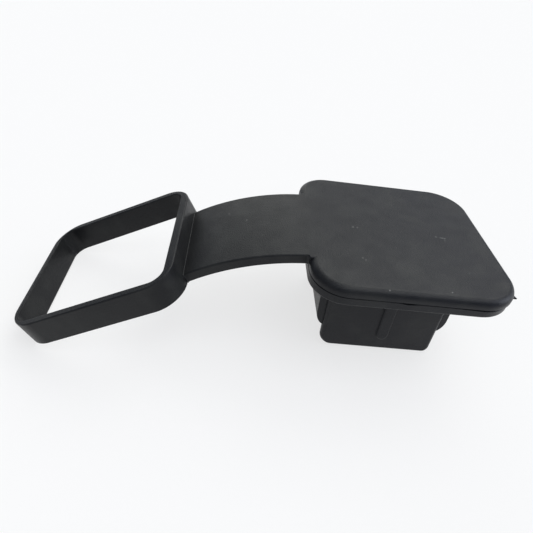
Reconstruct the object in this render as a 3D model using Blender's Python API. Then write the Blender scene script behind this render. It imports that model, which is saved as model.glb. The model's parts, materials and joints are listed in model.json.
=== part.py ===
"""Hitch receiver cover: one rubber moulding with a cap, a hollow plug, a strap and a loop.

Metres, +Z up. The cover is laid out with its cap level, the middle of the cap's parting line at the
origin and the strap running to -X. It is then leaned and set down as it rests on a flat surface, on
the foot of its plug and the far edge of its loop.
"""
import math

import bmesh
import bpy
from mathutils import Matrix, Vector

# Cap: a rounded square plate in two halves that meet at the parting line
CAP_LENGTH = 0.0800
CAP_WIDTH = 0.0802
CAP_CORNER_STRAP = 0.0135
CAP_CORNER_FAR = 0.0162
CAP_UPPER = 0.0040
CAP_LOWER = 0.0042
CAP_TOP_ROUND = 0.0030
CAP_FOOT_ROUND = 0.0006
PARTING_STEP = 0.0006
PARTING_DEPTH = 0.0004
PARTING_GAP = 0.0005

# Plug: a square tube of four walls for a 2 inch receiver, open at its foot. It stands a little nearer
# to the strap than the cap's middle, and slants away from the strap on its way down
PLUG_DEPTH = 0.0497
PLUG_WIDTH = 0.0563
PLUG_SHIFT = -0.0043
PLUG_SLANT = 0.066
PANEL_WIDTH = 0.0501
PANEL_WALL = 0.0040
PANEL_DROP = 0.0380
PANEL_CORNER_NEAR = 0.0049
PANEL_CORNER_FAR = 0.0027
PANEL_EDGE = 0.0011
SIDE_WALL = 0.0050
SIDE_DROP_STRAP = 0.0279
SIDE_DROP_FAR = 0.0263
SIDE_SETBACK = 0.0010
SIDE_TOE_ACROSS = 0.0045
SIDE_TOE_UP = 0.0072
SIDE_EDGE = 0.0010
FOOT_ROUND = 0.0008
PLUG_ROOT_FILLET = 0.0012

# Grip groove, sunk into the middle of the front and back panels
GROOVE_WIDTH = 0.0057
GROOVE_LENGTH = 0.0240
GROOVE_DEPTH = 0.0010
GROOVE_FOOT = 0.0063
GROOVE_SHIFT = 0.0014
GROOVE_DRAFT = 0.0003

# Strap: level with the cap's top where it starts, then an even bend downwards
STRAP_WIDTH = 0.0448
STRAP_THICK = 0.0044
STRAP_BEND = 0.0979
STRAP_BEND_START = 0.0064
STRAP_EDGE = 0.0007
STRAP_SINK = 0.00002
STRAP_BLEND = 0.0050
STRAP_CAP_FILLET = 0.0012
STRAP_LOOP_FILLET = 0.0024
STRAP_LOOP_SIDE_FILLET = 0.0008

# Loop: a rounded rectangular band for a 2.5 inch tube, leaning down away from the cap
LOOP_REACH = 0.0508
LOOP_BELOW = 0.0051
LOOP_LEAN = math.radians(28.3)
LOOP_LENGTH = 0.0734
LOOP_WIDTH = 0.0691
LOOP_HEIGHT = 0.0123
LOOP_ROOT_WALL = 0.0039
LOOP_SIDE_WALL = 0.0034
LOOP_END_WALL = 0.0024
LOOP_CORNER = 0.0122
LOOP_INNER_CORNER = 0.0057
LOOP_EDGE = 0.0006

# How deep one form runs into the next before they are joined
OVERLAP = 0.0010

# Fineness of the rounds, the least distance between two sections, and the distance that welds two points
CORNER_STEPS = 12
ROUND_STEPS = 4
STRAP_STEPS = 20
LEAST_STEP = 0.0001
WELD = 0.000002
SHARP_ANGLE = math.radians(32)

# The most of a thin wall that the round at each of its edges may take
EDGE_SHARE = 0.45

# Rubber
RUBBER_COLOUR = (0.035, 0.036, 0.037, 1.0)
RUBBER_ROUGHNESS = 0.62


def quarter(steps):
    """Angles that divide a quarter turn evenly, both ends included."""
    return [math.pi / 2 * step / steps for step in range(steps + 1)]


def smooth_step(value):
    """0 below 0, 1 above 1, and an even swing between."""
    value = min(max(value, 0.0), 1.0)
    return value * value * (3 - 2 * value)


def round_over(height, across, up):
    """How far a rounded edge stands in from its face, at a height above its lowest point."""
    if height >= up:
        return 0.0
    share = 1 - height / up
    return across * (1 - math.sqrt(1 - share * share))


def fillet(distance, radius):
    """How far a concave fillet stands out, at a distance from the face that it runs into."""
    return round_over(max(distance, 0.0), radius, radius)


def round_heights(radius, steps):
    """Heights at which a rounded edge is cut into even turns."""
    return [radius * (1 - math.sin(angle)) for angle in quarter(steps)]


def rounded_rectangle(low_x, high_x, low_y, high_y, radius, steps, low_radius=None):
    """A closed outline, anticlockwise, with quarter-circle corners: those at low_x may have their own radius."""
    low_radius = radius if low_radius is None else low_radius
    corners = [
        (high_x - radius, high_y - radius, radius),
        (low_x + low_radius, high_y - low_radius, low_radius),
        (low_x + low_radius, low_y + low_radius, low_radius),
        (high_x - radius, low_y + radius, radius),
    ]
    points = []
    for turn, (centre_x, centre_y, radius) in enumerate(corners):
        for angle in quarter(steps):
            direction = angle + turn * math.pi / 2
            points.append((centre_x + radius * math.cos(direction), centre_y + radius * math.sin(direction)))
    return points


def spaced(values, least):
    """The values in order, without those that lie closer together than the least step."""
    kept = []
    for value in sorted(values):
        if not kept or value - kept[-1] > least:
            kept.append(value)
    return kept


def loft(name, rings, closed=False):
    """A solid through rings of equal count: capped at both ends, or joined end to end like a band."""
    shape = bmesh.new()
    rows = [[shape.verts.new(point) for point in ring] for ring in rings]
    pairs = list(zip(rows, rows[1:]))
    if closed:
        pairs.append((rows[-1], rows[0]))
    for lower, upper in pairs:
        for index in range(len(lower)):
            after = (index + 1) % len(lower)
            shape.faces.new((lower[index], lower[after], upper[after], upper[index]))
    if not closed:
        shape.faces.new(list(reversed(rows[0])))
        shape.faces.new(rows[-1])
    bmesh.ops.recalc_face_normals(shape, faces=shape.faces)
    mesh = bpy.data.meshes.new(name)
    shape.to_mesh(mesh)
    shape.free()
    form = bpy.data.objects.new(name, mesh)
    bpy.context.collection.objects.link(form)
    return form


def make_cap():
    """The cap's plate in two halves, with a notch along their parting line and a round top edge."""
    profile = [
        (CAP_FOOT_ROUND * (1 - math.sin(angle)), PARTING_STEP, -CAP_LOWER + CAP_FOOT_ROUND * (1 - math.cos(angle)))
        for angle in quarter(ROUND_STEPS)
    ]
    profile += [
        (0.0, PARTING_STEP, -PARTING_GAP),
        (PARTING_DEPTH, PARTING_STEP, -PARTING_GAP / 2),
        (0.0, 0.0, 0.0),
    ]
    profile += [
        (CAP_TOP_ROUND * (1 - math.cos(angle)), 0.0, CAP_UPPER - CAP_TOP_ROUND * (1 - math.sin(angle)))
        for angle in quarter(2 * ROUND_STEPS)
    ]
    rings = []
    for inset, step, height in profile:
        half_x = CAP_LENGTH / 2 - inset
        half_y = CAP_WIDTH / 2 - inset - step
        outline = rounded_rectangle(-half_x, half_x, -half_y, half_y, CAP_CORNER_FAR - inset, CORNER_STEPS,
                                    CAP_CORNER_STRAP - inset)
        rings.append([Vector((x, y, height)) for x, y in outline])
    return loft("hitch_cover", rings)


def plug_middle(height_above_foot, drop):
    """The plug's middle in x, at a height above the foot of a wall with this drop."""
    return PLUG_SHIFT + PLUG_SLANT * (drop - height_above_foot)


def plug_heights(drop, rounds):
    """Heights of a plug wall's sections above its foot, close together at its rounds and its root."""
    heights = [height for radius, steps in rounds for height in round_heights(radius, steps)]
    heights += [drop - height for height in round_heights(PLUG_ROOT_FILLET, ROUND_STEPS)]
    heights += [0.0, drop, drop + OVERLAP]
    return spaced(heights, LEAST_STEP)


def make_panel(name, side):
    """The front panel with side -1, or the back one with side 1: flat, with rounded lower corners."""
    outer = PLUG_DEPTH / 2
    foot = -CAP_LOWER - PANEL_DROP
    rounds = [(FOOT_ROUND, ROUND_STEPS), (PANEL_CORNER_NEAR, 2 * ROUND_STEPS), (PANEL_CORNER_FAR, ROUND_STEPS)]
    rings = []
    for height in plug_heights(PANEL_DROP, rounds):
        root = fillet(PANEL_DROP - height, PLUG_ROOT_FILLET)
        thinned = round_over(height, FOOT_ROUND, FOOT_ROUND)
        low_x = -PANEL_WIDTH / 2 + round_over(height, PANEL_CORNER_NEAR, PANEL_CORNER_NEAR) - root
        high_x = PANEL_WIDTH / 2 - round_over(height, PANEL_CORNER_FAR, PANEL_CORNER_FAR) + root
        low_y = outer - PANEL_WALL + thinned - root
        high_y = outer - thinned + root
        outline = rounded_rectangle(low_x, high_x, low_y, high_y, PANEL_EDGE + root, ROUND_STEPS)
        middle = plug_middle(height, PANEL_DROP)
        rings.append([Vector((middle + x, side * y, foot + height)) for x, y in outline])
    return loft(name, rings)


def make_side(name, side, drop):
    """The left wall of the plug with side -1, or the right one with side 1: shorter, with a rounded toe."""
    outer = PLUG_WIDTH / 2
    reach = PLUG_DEPTH / 2 - SIDE_SETBACK
    foot = -CAP_LOWER - drop
    inner_round = (SIDE_WALL - SIDE_TOE_ACROSS) / 2
    rounds = [(FOOT_ROUND, ROUND_STEPS), (inner_round, ROUND_STEPS), (SIDE_TOE_UP, 2 * ROUND_STEPS)]
    rings = []
    for height in plug_heights(drop, rounds):
        root = fillet(drop - height, PLUG_ROOT_FILLET)
        low_x = outer - SIDE_WALL + round_over(height, inner_round, inner_round) - root
        high_x = outer - round_over(height, SIDE_TOE_ACROSS, SIDE_TOE_UP) + root
        half_y = reach - round_over(height, FOOT_ROUND, FOOT_ROUND) + root
        edge = min(SIDE_EDGE + root, EDGE_SHARE * (high_x - low_x))
        outline = rounded_rectangle(low_x, high_x, -half_y, half_y, edge, ROUND_STEPS)
        middle = plug_middle(height, drop)
        rings.append([Vector((middle + side * x, y, foot + height)) for x, y in outline])
    return loft(name, rings)


def make_groove(name, side):
    """The cutter for one panel's grip groove: a slot with round ends and drafted walls, along the plug's slant."""
    face = PLUG_DEPTH / 2
    foot = -CAP_LOWER - PANEL_DROP
    rings = []
    for depth, inset in ((-OVERLAP, 0.0), (0.0, 0.0), (GROOVE_DEPTH, GROOVE_DRAFT)):
        half = GROOVE_WIDTH / 2 - inset
        outline = rounded_rectangle(-half, half, GROOVE_FOOT + inset, GROOVE_FOOT + GROOVE_LENGTH - inset,
                                    half, 2 * ROUND_STEPS)
        rings.append([
            Vector((GROOVE_SHIFT + plug_middle(height, PANEL_DROP) + x, side * (face - depth), foot + height))
            for x, height in outline
        ])
    return loft(name, rings)


def loop_frame():
    """The top outer edge of the loop's root wall, and the loop's own long and upward directions."""
    start = Vector((-CAP_LENGTH / 2 - LOOP_REACH, 0, -LOOP_BELOW))
    along = Vector((math.cos(LOOP_LEAN), 0, math.sin(LOOP_LEAN)))
    up = Vector((-math.sin(LOOP_LEAN), 0, math.cos(LOOP_LEAN)))
    return start, along, up


def bend_angle_at_cap(distance):
    """The angle along the strap's bend at a distance out from the cap's side."""
    return math.asin((CAP_LENGTH / 2 + distance - strap_start()) / STRAP_BEND)


def bend_angle_at_loop(distance):
    """The angle along the strap's bend at a distance out from the face of the loop's root wall."""
    start, along, _ = loop_frame()
    offset = (bend_centre() - start).dot(along)
    return LOOP_LEAN + math.asin((offset - distance) / STRAP_BEND)


def strap_start():
    """Distance from the cap's middle to where the strap's bend starts."""
    return CAP_LENGTH / 2 - STRAP_BEND_START


def bend_centre():
    return Vector((-strap_start(), 0, CAP_UPPER - STRAP_BEND))


def make_strap():
    """The strap, swept along its bend: flush with the cap's top, and filleted where it runs into the loop."""
    last = bend_angle_at_loop(-LOOP_ROOT_WALL / 2)
    angles = [last * step / STRAP_STEPS for step in range(STRAP_STEPS + 1)]
    angles += [bend_angle_at_cap(distance) for distance in round_heights(STRAP_CAP_FILLET, ROUND_STEPS)]
    angles += [bend_angle_at_loop(distance) for distance in round_heights(STRAP_LOOP_FILLET, 2 * ROUND_STEPS)]
    angles += [bend_angle_at_loop(distance) for distance in round_heights(STRAP_LOOP_SIDE_FILLET, ROUND_STEPS)]
    flush_until = CAP_LENGTH / 2 - CAP_TOP_ROUND
    start, along, _ = loop_frame()
    rings = []
    for angle in spaced(angles, LEAST_STEP / STRAP_BEND):
        out = Vector((-math.sin(angle), 0, math.cos(angle)))
        top = bend_centre() + STRAP_BEND * out
        fallen = CAP_UPPER - top.z - STRAP_SINK
        lift = fallen * (1 - smooth_step((-top.x - flush_until) / STRAP_BLEND))
        to_loop = (top - start).dot(along)
        half = STRAP_WIDTH / 2 + fillet(to_loop, STRAP_LOOP_SIDE_FILLET)
        half += fillet(-top.x - CAP_LENGTH / 2, STRAP_CAP_FILLET)
        high = lift + fillet(to_loop, STRAP_LOOP_FILLET)
        outline = rounded_rectangle(-half, half, -STRAP_THICK, high, STRAP_EDGE, ROUND_STEPS)
        rings.append([top + height * out + Vector((0, y, 0)) for y, height in outline])
    return loft("strap", rings)


def make_loop():
    """The band that goes round the receiver tube, as one closed ring with rounded edges."""
    start, along, up = loop_frame()
    half_y = LOOP_WIDTH / 2

    def ring(inset, height, inner):
        low_x, high_x, half, radius = -LOOP_LENGTH + inset, -inset, half_y - inset, LOOP_CORNER - inset
        if inner:
            low_x = -LOOP_LENGTH + LOOP_END_WALL - inset
            high_x = -LOOP_ROOT_WALL + inset
            half = half_y - LOOP_SIDE_WALL + inset
            radius = LOOP_INNER_CORNER + inset
        outline = rounded_rectangle(low_x, high_x, -half, half, radius, CORNER_STEPS)
        return [start + along * x + up * height + Vector((0, y, 0)) for x, y in outline]

    edge = [(LOOP_EDGE * (1 - math.cos(angle)), LOOP_EDGE * (1 - math.sin(angle))) for angle in quarter(ROUND_STEPS)]
    rings = [ring(inset, -LOOP_HEIGHT + height, False) for inset, height in reversed(edge)]
    rings += [ring(inset, -height, False) for inset, height in edge]
    rings += [ring(inset, -height, True) for inset, height in reversed(edge)]
    rings += [ring(inset, -LOOP_HEIGHT + height, True) for inset, height in edge]
    return loft("loop", rings, closed=True)


def combine(body, form, operation):
    """Joins a form to the body, or cuts it out, and takes the form away."""
    step = body.modifiers.new(form.name, "BOOLEAN")
    step.operation = operation
    step.solver = "EXACT"
    step.object = form
    graph = bpy.context.evaluated_depsgraph_get()
    result = bpy.data.meshes.new_from_object(body.evaluated_get(graph))
    body.modifiers.clear()
    body.data = result
    bpy.data.objects.remove(form)


def tidy(mesh):
    """Welds points that coincide and cuts every face into triangles."""
    shape = bmesh.new()
    shape.from_mesh(mesh)
    bmesh.ops.remove_doubles(shape, verts=shape.verts, dist=WELD)
    bmesh.ops.dissolve_degenerate(shape, edges=shape.edges, dist=WELD)
    bmesh.ops.triangulate(shape, faces=shape.faces)
    shape.to_mesh(mesh)
    shape.free()


def balance_point(mesh):
    """The centre of the solid's volume."""
    total = 0.0
    moment = Vector((0, 0, 0))
    for face in mesh.polygons:
        a, b, c = (mesh.vertices[index].co for index in face.vertices)
        volume = a.dot(b.cross(c)) / 6
        total += volume
        moment += volume * (a + b + c) / 4
    return moment / total


def resting_lean(mesh):
    """The lean that brings the two lowest lines under the balance point level with each other."""
    lower = []
    for x, z in sorted((point.co.x, point.co.z) for point in mesh.vertices):
        while len(lower) > 1:
            (x0, z0), (x1, z1) = lower[-2:]
            if (x1 - x0) * (z - z0) - (z1 - z0) * (x - x0) > 0:
                break
            lower.pop()
        lower.append((x, z))
    balance = balance_point(mesh).x
    for (x0, z0), (x1, z1) in zip(lower, lower[1:]):
        if x0 <= balance <= x1:
            return math.atan2(z1 - z0, x1 - x0)
    return 0.0


def set_down(mesh):
    """Leans the cover as it rests, with its lowest points at z = 0 under the middle of its box."""
    mesh.transform(Matrix.Rotation(resting_lean(mesh), 4, "Y"))
    lows = [min(point.co[axis] for point in mesh.vertices) for axis in range(3)]
    highs = [max(point.co[axis] for point in mesh.vertices) for axis in range(3)]
    middle = Vector(((lows[0] + highs[0]) / 2, (lows[1] + highs[1]) / 2, lows[2]))
    mesh.transform(Matrix.Translation(-middle))


def rubber():
    material = bpy.data.materials.new("rubber")
    material.use_nodes = True
    shader = material.node_tree.nodes["Principled BSDF"]
    shader.inputs["Base Color"].default_value = RUBBER_COLOUR
    shader.inputs["Roughness"].default_value = RUBBER_ROUGHNESS
    shader.inputs["Metallic"].default_value = 0.0
    return material


def main():
    for old in list(bpy.data.objects):
        bpy.data.objects.remove(old)
    cover = make_cap()
    for side, name in ((-1, "panel_front"), (1, "panel_back")):
        combine(cover, make_panel(name, side), "UNION")
    for side, name, drop in ((-1, "wall_left", SIDE_DROP_STRAP), (1, "wall_right", SIDE_DROP_FAR)):
        combine(cover, make_side(name, side, drop), "UNION")
    combine(cover, make_strap(), "UNION")
    combine(cover, make_loop(), "UNION")
    for side in (-1, 1):
        combine(cover, make_groove("groove", side), "DIFFERENCE")
    tidy(cover.data)
    set_down(cover.data)
    cover.data.materials.clear()
    cover.data.materials.append(rubber())
    cover.data.shade_smooth()
    cover.data.set_sharp_from_angle(angle=SHARP_ANGLE)


main()
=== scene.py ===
import json
import math

import bmesh
import bpy
from mathutils import Matrix, Vector, noise


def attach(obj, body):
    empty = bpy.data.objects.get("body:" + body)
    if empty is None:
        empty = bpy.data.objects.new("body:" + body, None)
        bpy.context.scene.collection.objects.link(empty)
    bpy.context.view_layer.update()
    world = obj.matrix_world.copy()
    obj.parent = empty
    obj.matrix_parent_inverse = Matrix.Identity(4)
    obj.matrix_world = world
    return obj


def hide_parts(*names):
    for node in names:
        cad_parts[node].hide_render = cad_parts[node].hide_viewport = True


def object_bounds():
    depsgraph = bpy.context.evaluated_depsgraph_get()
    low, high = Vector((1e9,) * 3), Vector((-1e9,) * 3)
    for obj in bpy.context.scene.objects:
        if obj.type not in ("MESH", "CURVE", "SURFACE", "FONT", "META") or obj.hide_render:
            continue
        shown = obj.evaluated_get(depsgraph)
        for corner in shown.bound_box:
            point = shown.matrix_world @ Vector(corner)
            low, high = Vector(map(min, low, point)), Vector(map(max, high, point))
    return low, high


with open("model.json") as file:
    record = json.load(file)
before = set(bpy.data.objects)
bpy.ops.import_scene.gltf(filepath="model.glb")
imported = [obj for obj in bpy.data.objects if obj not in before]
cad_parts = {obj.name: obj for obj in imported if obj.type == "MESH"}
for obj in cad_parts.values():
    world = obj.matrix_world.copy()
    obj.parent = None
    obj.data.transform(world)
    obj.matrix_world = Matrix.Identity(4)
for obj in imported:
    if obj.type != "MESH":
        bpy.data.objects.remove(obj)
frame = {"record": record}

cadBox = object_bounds()
print("frame loaded, box", [round(high - low, 4) for low, high in zip(*cadBox)])

# the moulding is laid out with its cap level and the parting line's middle at the origin,
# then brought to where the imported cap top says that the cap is
capTopMount = next(mount for mount in frame["record"]["mounts"] if mount["name"] == "cap_top")

fineness = {
    "corner": 20,      # steps in a big quarter turn
    "round": 7,        # steps in a small rounded edge
    "strap": 44,       # sections along the strap
    "rim": 56,         # pieces of each straight side of the cap's rim
    "leastStep": 0.000005,
    "overlap": 0.0010,
    "weld": 0.000002,
    "sharpFrom": math.radians(32),   # edges that turn by more than this stay crisp
}

millimetre = 0.001


def quarterTurn(steps):
    return [math.pi / 2 * step / steps for step in range(steps + 1)]


def easeIn(value):
    value = min(max(value, 0.0), 1.0)
    return value * value * (3 - 2 * value)


def edgeInset(height, across, up):  # how far a rounded edge stands in, at a height above its lowest point
    if height >= up:
        return 0.0
    share = 1 - height / up
    return across * (1 - math.sqrt(1 - share * share))


def hollowRound(distance, radius):  # a concave fillet at a distance from the face that it runs into
    return edgeInset(max(distance, 0.0), radius, radius)


def turnHeights(radius, steps):
    return [radius * (1 - math.sin(angle)) for angle in quarterTurn(steps)]


def roundedOutline(lowX, highX, lowY, highY, radius, steps, lowRadius=None):
    lowRadius = radius if lowRadius is None else lowRadius
    corners = [
        (highX - radius, highY - radius, radius),
        (lowX + lowRadius, highY - lowRadius, lowRadius),
        (lowX + lowRadius, lowY + lowRadius, lowRadius),
        (highX - radius, lowY + radius, radius),
    ]
    points = []
    for turn, (centreX, centreY, corner) in enumerate(corners):
        for angle in quarterTurn(steps):
            direction = angle + turn * math.pi / 2
            points.append((centreX + corner * math.cos(direction), centreY + corner * math.sin(direction)))
    return points


def splitStraights(points, pieces):  # cuts each of an outline's four longest sides into so many pieces
    longSides = sorted(
        ((Vector(after) - Vector(before)).length, index)
        for index, (before, after) in enumerate(zip(points, points[1:] + points[:1]))
    )[-4:]
    cuts = {index for _, index in longSides}
    split = []
    for index, before in enumerate(points):
        split.append(before)
        if index in cuts:
            after = points[(index + 1) % len(points)]
            for part in range(1, pieces):
                share = part / pieces
                split.append(tuple(a + (b - a) * share for a, b in zip(before, after)))
    return split


def thinnedOut(values, least):
    kept = []
    for value in sorted(values):
        if not kept or value - kept[-1] > least:
            kept.append(value)
    return kept


def skinRings(name, rings, closed=False):  # a solid through rings of equal count
    shape = bmesh.new()
    rows = [[shape.verts.new(point) for point in ring] for ring in rings]
    pairs = list(zip(rows, rows[1:]))
    if closed:
        pairs.append((rows[-1], rows[0]))
    for lower, upper in pairs:
        for index in range(len(lower)):
            after = (index + 1) % len(lower)
            shape.faces.new((lower[index], lower[after], upper[after], upper[index]))
    if not closed:
        shape.faces.new(list(reversed(rows[0])))
        shape.faces.new(rows[-1])
    bmesh.ops.recalc_face_normals(shape, faces=shape.faces)
    mesh = bpy.data.meshes.new(name)
    shape.to_mesh(mesh)
    shape.free()
    form = bpy.data.objects.new(name, mesh)
    bpy.context.scene.collection.objects.link(form)
    return form


def merge(body, form):  # joins a form to the body and takes the form away
    step = body.modifiers.new(form.name, "BOOLEAN")
    step.operation = "UNION"
    step.solver = "EXACT"
    step.object = form
    graph = bpy.context.evaluated_depsgraph_get()
    result = bpy.data.meshes.new_from_object(body.evaluated_get(graph))
    body.modifiers.clear()
    body.data = result
    bpy.data.objects.remove(form)


cap = {
    "length": 0.0800,
    "width": 0.0802,
    "cornerAtStrap": 0.0135,
    "cornerFar": 0.0162,
    "upper": 0.0040,
    "lower": 0.0042,
    "topRound": 0.0030,
    "footRound": 0.0006,
    "partingStep": 0.0006,
    "seamDepth": 0.0013,
    "seamLip": 0.00015,
    "seamGap": 0.00040,
    "seamSideGap": 0.00024,   # what is added to the gap on the front and the back
    "seamSideFrom": 0.0290,
    "seamSideOver": 0.0090,
    "seamWander": 0.00010,
    "seamWanderSize": 0.011,
    "seamWanderSlice": 0.003,  # where the noise is cut, as its third coordinate
    # place along the front, reach and extra gap
    "seamOpen": [(-0.0042, 0.0046, 0.00050), (0.0300, 0.0200, 0.00040)],
}


def seamGap(x, y):  # the mould's halves didn't close evenly, so the seam's width wanders round the rim
    place = Vector((x, y, cap["seamWanderSlice"])) / cap["seamWanderSize"]
    gap = cap["seamGap"] + cap["seamWander"] * noise.noise(place)
    gap += cap["seamSideGap"] * easeIn((abs(y) - cap["seamSideFrom"]) / cap["seamSideOver"])
    if y < 0:
        gap += sum(extra * easeIn(1 - abs(x - centre) / reach) for centre, reach, extra in cap["seamOpen"])
    return gap


def makeCap():
    profile = [
        (cap["footRound"] * (1 - math.sin(angle)), cap["partingStep"],
         -cap["lower"] + cap["footRound"] * (1 - math.cos(angle)), 0)
        for angle in quarterTurn(fineness["round"])
    ]
    profile += [  # the lower half's lip, the seam's floor and the upper half's lip
        (0.0, cap["partingStep"], -cap["seamLip"], 1),
        (cap["seamLip"], cap["partingStep"], 0.0, 1),
        (cap["seamDepth"], cap["partingStep"], 0.0, 1),
        (cap["seamDepth"], cap["partingStep"], 0.0, 0),
        (cap["seamLip"], 0.0, 0.0, 0),
        (0.0, 0.0, cap["seamLip"], 0),
    ]
    profile += [
        (cap["topRound"] * (1 - math.cos(angle)), 0.0,
         cap["upper"] - cap["topRound"] * (1 - math.sin(angle)), 0)
        for angle in quarterTurn(2 * fineness["round"])
    ]
    rings = []
    for inset, step, height, gapShare in profile:
        halfX = cap["length"] / 2 - inset
        halfY = cap["width"] / 2 - inset - step
        outline = roundedOutline(-halfX, halfX, -halfY, halfY, cap["cornerFar"] - inset, fineness["corner"],
                                 cap["cornerAtStrap"] - inset)
        outline = splitStraights(outline, fineness["rim"])
        rings.append([Vector((x, y, height - gapShare * seamGap(x, y))) for x, y in outline])
    return skinRings("hitchCoverMoulding", rings)


flash = {  # a sliver that squeezed into the seam at the far front corner
    "root": (0.0383, -0.0308),
    "out": (0.87, -0.49),
    "width": 0.0022,
    "reach": 0.0017,
    "thick": 0.0005,
    "sink": 0.0008,
    # the ragged end's three corners: share of the reach, and of half the width to either side
    "ragged": [(0.35, 0.55), (1.0, -0.35), (0.2, -1.0)],
}


def makeFlash():
    out = Vector((*flash["out"], 0)).normalized()
    along = Vector((-out.y, out.x, 0))
    root = Vector((*flash["root"], 0))
    half = flash["width"] / 2
    corners = [
        root - out * flash["sink"] - along * half,
        root - out * flash["sink"] + along * half,
    ]
    corners += [
        root + out * flash["reach"] * outShare + along * half * alongShare
        for outShare, alongShare in flash["ragged"]
    ]
    rings = [[corner + Vector((0, 0, height)) for corner in corners] for height in (0.0, flash["thick"])]
    return skinRings("flash", rings)


plug = {
    "depth": 0.0497,
    "width": 0.0563,
    "shift": -0.0043,
    "slant": 0.066,
    "panelWidth": 0.0501,
    "panelWall": 0.0040,
    "panelDrop": 0.0380,
    "panelCornerNear": 0.0049,
    "panelCornerFar": 0.0027,
    "panelEdge": 0.0018,
    "sideWall": 0.0050,
    "sideDropAtStrap": 0.0279,
    "sideDropFar": 0.0263,
    "sideSetback": 0.0016,
    "toeAcross": 0.0045,
    "toeUp": 0.0072,
    "sideEdge": 0.0004,
    "edgeShare": 0.45,
    "footRound": 0.0008,
    "rootFillet": 0.0012,
}


def plugMiddle(height, drop):
    return plug["shift"] + plug["slant"] * (drop - height)


def plugHeights(drop, rounds):
    heights = [height for radius, steps in rounds for height in turnHeights(radius, steps)]
    heights += [drop - height for height in turnHeights(plug["rootFillet"], fineness["round"])]
    heights += [0.0, drop, drop + fineness["overlap"]]
    return thinnedOut(heights, fineness["leastStep"])


def makePanel(side):
    steps = fineness["round"]
    drop = plug["panelDrop"]
    foot = -cap["lower"] - drop
    near, far = plug["panelCornerNear"], plug["panelCornerFar"]
    rounds = [(plug["footRound"], steps), (near, 2 * steps), (far, steps)]
    rings = []
    for height in plugHeights(drop, rounds):
        root = hollowRound(drop - height, plug["rootFillet"])
        thinned = edgeInset(height, plug["footRound"], plug["footRound"])
        lowX = -plug["panelWidth"] / 2 + edgeInset(height, near, near) - root
        highX = plug["panelWidth"] / 2 - edgeInset(height, far, far) + root
        lowY = plug["depth"] / 2 - plug["panelWall"] + thinned - root
        highY = plug["depth"] / 2 - thinned + root
        outline = roundedOutline(lowX, highX, lowY, highY, plug["panelEdge"] + root, steps)
        middle = plugMiddle(height, drop)
        rings.append([Vector((middle + x, side * y, foot + height)) for x, y in outline])
    return skinRings("panel", rings)


def makeSideWall(side, drop):
    steps = fineness["round"]
    foot = -cap["lower"] - drop
    outer = plug["width"] / 2
    innerRound = (plug["sideWall"] - plug["toeAcross"]) / 2
    rounds = [(plug["footRound"], steps), (innerRound, steps), (plug["toeUp"], 2 * steps)]
    rings = []
    for height in plugHeights(drop, rounds):
        root = hollowRound(drop - height, plug["rootFillet"])
        thinned = edgeInset(height, plug["footRound"], plug["footRound"])
        lowX = outer - plug["sideWall"] + edgeInset(height, innerRound, innerRound) - root
        highX = outer - edgeInset(height, plug["toeAcross"], plug["toeUp"]) + root
        halfY = plug["depth"] / 2 - plug["sideSetback"] - thinned + root
        edge = min(plug["sideEdge"] + root, plug["edgeShare"] * (highX - lowX))
        outline = roundedOutline(lowX, highX, -halfY, halfY, edge, steps)
        middle = plugMiddle(height, drop)
        rings.append([Vector((middle + side * x, y, foot + height)) for x, y in outline])
    return skinRings("sideWall", rings)


rib = {  # the raised grip rib on each panel
    "width": 0.0057,
    "length": 0.0240,
    "high": 0.0010,
    "foot": 0.0063,
    "shift": 0.0014,
    "slope": 0.0002,
    "edge": 0.0008,
}


def makeRib(side):
    drop = plug["panelDrop"]
    foot = -cap["lower"] - drop
    profile = [(-fineness["overlap"], 0.0), (0.0, 0.0)]
    profile += [
        (rib["high"] - rib["edge"] * (1 - math.sin(angle)),
         rib["slope"] + rib["edge"] * (1 - math.cos(angle)))
        for angle in quarterTurn(fineness["round"])
    ]
    rings = []
    for high, inset in profile:
        half = rib["width"] / 2 - inset
        outline = roundedOutline(-half, half, rib["foot"] + inset, rib["foot"] + rib["length"] - inset,
                                 half, 2 * fineness["round"])
        standsAt = side * (plug["depth"] / 2 + high)
        rings.append([
            Vector((rib["shift"] + plugMiddle(height, drop) + x, standsAt, foot + height))
            for x, height in outline
        ])
    return skinRings("rib", rings)


strap = {
    "width": 0.0448,
    "thick": 0.0044,
    "bend": 0.0979,
    "bendStart": 0.0064,
    "edge": 0.0007,
    "sink": 0.00002,
    "blend": 0.0050,
    "filletAtCap": 0.0012,
    "filletAtLoop": 0.0003,
    "sideFilletAtLoop": 0.0005,
}

loop = {
    "reach": 0.0508,
    "below": 0.0051,
    "lean": math.radians(28.3),
    "length": 0.0734,
    "width": 0.0691,
    "height": 0.0123,
    "rootWall": 0.0039,
    "sideWall": 0.0034,
    "endWall": 0.0024,
    "corner": 0.0122,
    "innerCorner": 0.0057,
    "edge": 0.0006,
}


def loopFrame():  # the top outer edge of the loop's root wall, and the loop's own directions
    start = Vector((-cap["length"] / 2 - loop["reach"], 0, -loop["below"]))
    along = Vector((math.cos(loop["lean"]), 0, math.sin(loop["lean"])))
    up = Vector((-math.sin(loop["lean"]), 0, math.cos(loop["lean"])))
    return start, along, up


def bendCentre():
    return Vector((strap["bendStart"] - cap["length"] / 2, 0, cap["upper"] - strap["bend"]))


def bendAngleAtCap(distance):
    return math.asin((strap["bendStart"] + distance) / strap["bend"])


def bendAngleAtLoop(distance):
    start, along, _ = loopFrame()
    offset = (bendCentre() - start).dot(along)
    return loop["lean"] + math.asin((offset - distance) / strap["bend"])


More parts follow.
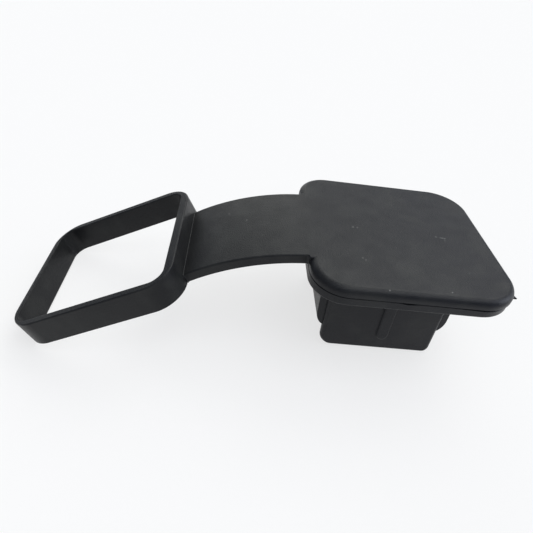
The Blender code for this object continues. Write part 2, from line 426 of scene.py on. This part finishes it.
def makeStrap():
    last = bendAngleAtLoop(-loop["rootWall"] / 2)
    angles = [last * step / fineness["strap"] for step in range(fineness["strap"] + 1)]
    steps = fineness["round"]
    angles += [bendAngleAtCap(distance) for distance in turnHeights(strap["filletAtCap"], steps)]
    angles += [bendAngleAtLoop(distance) for distance in turnHeights(strap["filletAtLoop"], 2 * steps)]
    angles += [bendAngleAtLoop(distance) for distance in turnHeights(strap["sideFilletAtLoop"], steps)]
    flushUntil = cap["length"] / 2 - cap["topRound"]
    start, along, _ = loopFrame()
    rings = []
    for angle in thinnedOut(angles, fineness["leastStep"] / strap["bend"]):
        out = Vector((-math.sin(angle), 0, math.cos(angle)))
        top = bendCentre() + strap["bend"] * out
        fallen = cap["upper"] - top.z - strap["sink"]
        lift = fallen * (1 - easeIn((-top.x - flushUntil) / strap["blend"]))
        toLoop = (top - start).dot(along)
        half = strap["width"] / 2 + hollowRound(toLoop, strap["sideFilletAtLoop"])
        half += hollowRound(-top.x - cap["length"] / 2, strap["filletAtCap"])
        high = lift + hollowRound(toLoop, strap["filletAtLoop"])
        outline = roundedOutline(-half, half, -strap["thick"], high, strap["edge"], steps)
        rings.append([top + height * out + Vector((0, y, 0)) for y, height in outline])
    return skinRings("strap", rings)


def makeLoop():
    start, along, up = loopFrame()

    def ring(inset, height, inner):
        lowX, highX = -loop["length"] + inset, -inset
        half = loop["width"] / 2 - inset
        radius = loop["corner"] - inset
        if inner:
            lowX, highX = -loop["length"] + loop["endWall"] - inset, -loop["rootWall"] + inset
            half = loop["width"] / 2 - loop["sideWall"] + inset
            radius = loop["innerCorner"] + inset
        outline = roundedOutline(lowX, highX, -half, half, radius, fineness["corner"])
        return [start + along * x + up * height + Vector((0, y, 0)) for x, y in outline]

    edge = [
        (loop["edge"] * (1 - math.cos(angle)), loop["edge"] * (1 - math.sin(angle)))
        for angle in quarterTurn(fineness["round"])
    ]
    rings = [ring(inset, -loop["height"] + height, False) for inset, height in reversed(edge)]
    rings += [ring(inset, -height, False) for inset, height in edge]
    rings += [ring(inset, -height, True) for inset, height in reversed(edge)]
    rings += [ring(inset, -loop["height"] + height, True) for inset, height in edge]
    return skinRings("loop", rings, closed=True)


def layDown():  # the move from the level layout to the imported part's place
    turn = Vector((0, 0, 1)).rotation_difference(Vector(capTopMount["axis"])).to_matrix().to_4x4()
    capTop = turn @ Vector((0, 0, cap["upper"]))
    return Matrix.Translation(Vector(capTopMount["pos_m"]) - capTop) @ turn


def onTop(x, y):  # takes millimetres from the cap's middle, gives the place on the laid-down cap or strap
    point = Vector((x, y, 0)) * millimetre
    bend = bendCentre()
    drop = max(bend.x - point.x, 0)
    point.z = bend.z + math.sqrt(strap["bend"] ** 2 - drop ** 2) if drop < strap["bend"] else bend.z
    return layDown() @ point


def makeMoulding():
    moulding = makeCap()
    for side in (-1, 1):
        merge(moulding, makePanel(side))
    for side, drop in ((-1, plug["sideDropAtStrap"]), (1, plug["sideDropFar"])):
        merge(moulding, makeSideWall(side, drop))
    merge(moulding, makeFlash())
    merge(moulding, makeStrap())
    merge(moulding, makeLoop())
    for side in (-1, 1):
        merge(moulding, makeRib(side))
    shape = bmesh.new()
    shape.from_mesh(moulding.data)
    bmesh.ops.remove_doubles(shape, verts=shape.verts, dist=fineness["weld"])
    bmesh.ops.dissolve_degenerate(shape, edges=shape.edges, dist=fineness["weld"])
    shape.to_mesh(moulding.data)
    shape.free()
    moulding.data.transform(layDown())
    moulding.data.shade_smooth()
    moulding.data.set_sharp_from_angle(angle=fineness["sharpFrom"])
    weighted = moulding.modifiers.new("weighted", "WEIGHTED_NORMAL")
    weighted.keep_sharp = True
    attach(moulding, "root")
    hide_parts("hitch_cover")
    return moulding


class Wire:  # an output socket that takes part in arithmetic

    def __init__(self, graph, socket):
        self.graph = graph
        self.socket = socket

    def math(self, operation, first, second):
        return self.graph.node("ShaderNodeMath", {"operation": operation}, {0: first, 1: second})

    def __add__(self, other):
        return self.math("ADD", self, other)

    def __radd__(self, other):
        return self.math("ADD", other, self)

    def __sub__(self, other):
        return self.math("SUBTRACT", self, other)

    def __rsub__(self, other):
        return self.math("SUBTRACT", other, self)

    def __mul__(self, other):
        return self.math("MULTIPLY", self, other)

    def __rmul__(self, other):
        return self.math("MULTIPLY", other, self)


class Graph:  # a material's nodes

    def __init__(self, tree):
        self.tree = tree

    def node(self, kind, settings=None, values=None, output=0):
        made = self.tree.nodes.new(kind)
        for name, value in (settings or {}).items():
            setattr(made, name, value)
        for key, value in (values or {}).items():
            if isinstance(value, Wire):
                self.tree.links.new(value.socket, made.inputs[key])
            else:
                made.inputs[key].default_value = value
        return Wire(self, made.outputs[output])

    def mix(self, share, first, second):  # colours
        return self.node("ShaderNodeMix", {"data_type": "RGBA"}, {0: share, 6: first, 7: second}, 2)

    def distanceMask(self, place, middle, radius):  # 1 round the middle, fading to 0 at the radius
        away = self.node("ShaderNodeVectorMath", {"operation": "DISTANCE"}, {0: place, 1: middle}, "Value")
        return self.node("ShaderNodeMapRange", {"interpolation_type": "SMOOTHSTEP"},
                         {0: away, 1: radius, 2: radius * rubber["fleckCore"], 3: 0.0, 4: 1.0})

    def feed(self, wire, shader, name):
        self.tree.links.new(wire.socket, shader.inputs[name])


rubber = {
    # the tones are the rubber's own near-black; painted light: their blue cast stands in for the cool fill
    # light in the shade
    "leftTone": (0.0090, 0.0095, 0.0105, 1),
    "rightTone": (0.0080, 0.0088, 0.0125, 1),
    "bloom": (0.024, 0.025, 0.024, 1),   # the grey that moulded rubber sweats out in patches
    "bloomShare": 0.45,
    "bloomFrom": 0.42,        # the patches' noise where the bloom starts, and where it is full
    "bloomTo": 0.72,
    "patch": 0.0110,          # size of the patches
    "patchDetail": 4.0,
    "driftStart": 0.3,        # where the tone starts to drift, as a share of the way to the loop's end
    "driftBreak": 0.06,       # how far the patches move it
    "roughLow": 0.345,
    "roughHigh": 0.425,
    "roughPatch": 0.6,        # size of the gloss patches, as a share of the others
    "roughDetail": 5.0,
    "roughFrom": 0.3,
    "roughTo": 0.7,
    "specular": 0.22,
    "grain": 0.00045,         # size of the mould's fine grain
    "grainHeight": 0.000090,
    "fineDetail": 2.0,        # for the grain, the wave and the scuff
    "wave": 0.0060,           # size of the faint unevenness of a moulded face
    "waveHeight": 0.000014,
    "dustTone": (0.36, 0.36, 0.34, 1),
    "fleckShare": 0.55,
    "fleckCore": 0.3,         # how much of a fleck's radius is at full tone
}

flecks = [  # pale specks of dust, x and y from the cap's middle and radius, in millimetres
    (-19.8, -0.4, 0.42),
    (-17.9, -0.45, 0.34),
    (-19.5, -21.0, 0.30),
    (-18.5, -22.1, 0.28),
    (-12.9, -38.2, 0.44),
    (10.9, -36.2, 0.34),
    (16.0, -1.2, 0.36),
    (19.2, -3.4, 0.26),
    (14.7, 17.9, 0.24),
    (2.0, 21.0, 0.22),
    (-4.0, -12.0, 0.20),
    (22.0, -24.0, 0.22),
    (-63.8, 3.5, 0.36),
    (-71.4, 11.0, 0.34),
    (-57.5, -9.0, 0.20),
]

scratch = {  # a short scuff on the cap's top, in millimetres from its middle
    "from": (16.2, -1.2),
    "to": (20.0, -1.9),
    "halfWidth": 0.27,
    "breakSize": 0.0006,      # the noise that breaks it up
    "breakFrom": 0.45,
    "breakTo": 0.6,
}


def makeRubber():
    material = bpy.data.materials.new("mattRubber")
    material.use_nodes = True
    graph = Graph(material.node_tree)
    shader = material.node_tree.nodes["Principled BSDF"]
    place = graph.node("ShaderNodeTexCoord", output="Object")

    def pattern(size, detail):
        values = {"Vector": place, "Scale": 1 / size, "Detail": detail}
        return graph.node("ShaderNodeTexNoise", values=values)

    def ramp(value, low, high, outLow=0.0, outHigh=1.0):
        return graph.node("ShaderNodeMapRange", {"interpolation_type": "SMOOTHSTEP"},
                          {0: value, 1: low, 2: high, 3: outLow, 4: outHigh})

    # the rubber's own near-black drifts to a bluer one at the far edge of the cap; painted light: that blue
    # stands in for the cool light that falls on the cap's right side
    side = graph.node("ShaderNodeSeparateXYZ", values={0: place}, output="X")
    patches = pattern(rubber["patch"], rubber["patchDetail"])
    driftFrom = cadBox[0][0] * rubber["driftStart"]
    drift = ramp(side + (patches - 0.5) * rubber["driftBreak"], driftFrom, cadBox[1][0])
    tone = graph.mix(drift, rubber["leftTone"], rubber["rightTone"])
    bloom = ramp(patches, rubber["bloomFrom"], rubber["bloomTo"], 0, rubber["bloomShare"])
    tone = graph.mix(bloom, tone, rubber["bloom"])

    # dust: the sum of the flecks' masks
    masks = [graph.distanceMask(place, onTop(x, y), radius * millimetre) for x, y, radius in flecks]
    dust = sum(masks[1:], masks[0])

    # the scuff: a mask round the nearest point of a line, broken up by noise
    start = onTop(*scratch["from"])
    end = onTop(*scratch["to"])
    along = (end - start).normalized()
    offset = graph.node("ShaderNodeVectorMath", {"operation": "SUBTRACT"}, {0: place, 1: start})
    travel = graph.node("ShaderNodeVectorMath", {"operation": "DOT_PRODUCT"}, {0: offset, 1: along}, "Value")
    length = (end - start).length
    held = graph.node("ShaderNodeClamp", values={"Value": travel, "Min": 0.0, "Max": length})
    nearest = graph.node("ShaderNodeVectorMath", {"operation": "SCALE"}, {0: along, "Scale": held})
    aside = graph.node("ShaderNodeVectorMath", {"operation": "DISTANCE"}, {0: offset, 1: nearest}, "Value")
    speckle = pattern(scratch["breakSize"], rubber["fineDetail"])
    broken = ramp(speckle, scratch["breakFrom"], scratch["breakTo"])
    scuff = ramp(aside, scratch["halfWidth"] * millimetre, 0.0) * broken
    pale = graph.node("ShaderNodeClamp", values={"Value": dust * rubber["fleckShare"] + scuff})
    tone = graph.mix(pale, tone, rubber["dustTone"])

    grain = pattern(rubber["grain"], rubber["fineDetail"])
    wave = pattern(rubber["wave"], rubber["fineDetail"])
    waveValues = {"Height": wave, "Distance": rubber["waveHeight"], "Strength": 1.0}
    waves = graph.node("ShaderNodeBump", values=waveValues)
    grainValues = {"Height": grain, "Distance": rubber["grainHeight"], "Strength": 1.0, "Normal": waves}
    grains = graph.node("ShaderNodeBump", values=grainValues)
    gloss = pattern(rubber["patch"] * rubber["roughPatch"], rubber["roughDetail"])
    rough = ramp(gloss, rubber["roughFrom"], rubber["roughTo"], rubber["roughLow"], rubber["roughHigh"])
    graph.feed(tone, shader, "Base Color")
    graph.feed(rough, shader, "Roughness")
    graph.feed(grains, shader, "Normal")
    shader.inputs["Specular IOR Level"].default_value = rubber["specular"]
    return material


studio = {
    "floorHalf": 3.0,
    "floorColour": (0.80, 0.80, 0.80, 1),
    "floorRoughness": 0.9,
    "floorGlow": 0.70,        # how much of plain white the floor shows to the camera and in gloss
    "skyColour": (0.90, 0.97, 1.12, 1),
    "skyStrength": 0.30,
}

softLights = {  # azimuth from the part's X, height and spread in degrees, strength, colour
    "overhead": (0, 90, 50, 0.30, (1.0, 1.0, 0.97)),
    "topRight": (330, 62, 42, 0.70, (1.0, 1.0, 1.0)),
    "topFront": (262, 62, 42, 0.20, (0.9, 0.97, 1.1)),
    "topBack": (30, 62, 42, 0.36, (1.0, 1.0, 0.98)),
    "left": (225, 45, 34, 0.10, (0.95, 1.0, 1.0)),
    "backRight": (45, 45, 34, 0.57, (1.0, 1.0, 0.96)),
    "back": (75, 45, 34, 0.43, (1.0, 1.0, 0.94)),
    "lowRight": (0, 20, 36, 0.82, (0.93, 0.98, 1.10)),
    "lowBack": (100, 20, 36, 0.37, (1.0, 1.0, 0.94)),
}


def seenDirectly(graph):  # 1 for what the camera sees, also in gloss and through glass, and 0 for light
    seen = graph.node("ShaderNodeLightPath", output="Is Camera Ray")
    for kind in ("Is Glossy Ray", "Is Transmission Ray"):
        seen = seen.math("MAXIMUM", seen, graph.node("ShaderNodeLightPath", output=kind))
    return seen


def makeFloor():
    shape = bmesh.new()
    bmesh.ops.create_grid(shape, x_segments=1, y_segments=1, size=studio["floorHalf"])
    mesh = bpy.data.meshes.new("floor")
    shape.to_mesh(mesh)
    shape.free()
    floor = bpy.data.objects.new("floor", mesh)
    bpy.context.scene.collection.objects.link(floor)
    material = bpy.data.materials.new("paleFloor")
    material.use_nodes = True
    shader = material.node_tree.nodes["Principled BSDF"]
    shader.inputs["Base Color"].default_value = studio["floorColour"]
    shader.inputs["Roughness"].default_value = studio["floorRoughness"]
    shader.inputs["Specular IOR Level"].default_value = 0.0
    graph = Graph(material.node_tree)
    white = graph.node("ShaderNodeEmission", values={"Color": (1, 1, 1, 1), "Strength": 1.0})
    lit = Wire(graph, shader.outputs["BSDF"])
    share = seenDirectly(graph) * studio["floorGlow"]
    shown = graph.node("ShaderNodeMixShader", values={0: share, 1: lit, 2: white})
    graph.feed(shown, material.node_tree.nodes["Material Output"], "Surface")
    floor.data.materials.append(material)


def makeWorld():
    world = bpy.data.worlds.new("studio")
    bpy.context.scene.world = world
    world.use_nodes = True
    background = world.node_tree.nodes["Background"]
    background.inputs["Color"].default_value = studio["skyColour"]
    background.inputs["Strength"].default_value = studio["skyStrength"]


def makeLights():
    for name, (azimuth, height, spread, strength, colour) in softLights.items():
        data = bpy.data.lights.new(name, "SUN")
        data.energy = strength
        data.angle = math.radians(spread)
        data.color = colour
        light = bpy.data.objects.new(name, data)
        bpy.context.scene.collection.objects.link(light)
        turn, rise = math.radians(azimuth), math.radians(height)
        level = math.cos(rise)
        towards = Vector((level * math.cos(turn), level * math.sin(turn), math.sin(rise)))
        light.rotation_euler = towards.to_track_quat("Z", "Y").to_euler()


camera = {
    "place": (-0.009517, -0.150969, 0.148177),
    "towards": (0.05514, 0.75461, -0.65385),
    "roll": math.radians(6.0785),
    "lens": 29.488,
    "shiftX": 0.01678,
    "shiftY": 0.01909,
    "sensor": 36,
    "nearest": 0.005,
}


def makeCamera():
    data = bpy.data.cameras.new("photoCamera")
    data.lens = camera["lens"]
    data.sensor_width = camera["sensor"]
    data.shift_x = camera["shiftX"]
    data.shift_y = camera["shiftY"]
    data.clip_start = camera["nearest"]
    seen = bpy.data.objects.new("photoCamera", data)
    bpy.context.scene.collection.objects.link(seen)
    turn = Vector(camera["towards"]).to_track_quat("-Z", "Y").to_matrix().to_4x4()
    seen.matrix_world = Matrix.Translation(camera["place"]) @ turn @ Matrix.Rotation(camera["roll"], 4, "Z")
    bpy.context.scene.camera = seen


moulding = makeMoulding()
moulding.data.materials.clear()
moulding.data.materials.append(makeRubber())
print("moulding made,", len(moulding.data.polygons), "faces")
makeFloor()
makeWorld()
makeLights()
makeCamera()
print("studio set")

bpy.context.scene.view_settings.view_transform = "Standard"
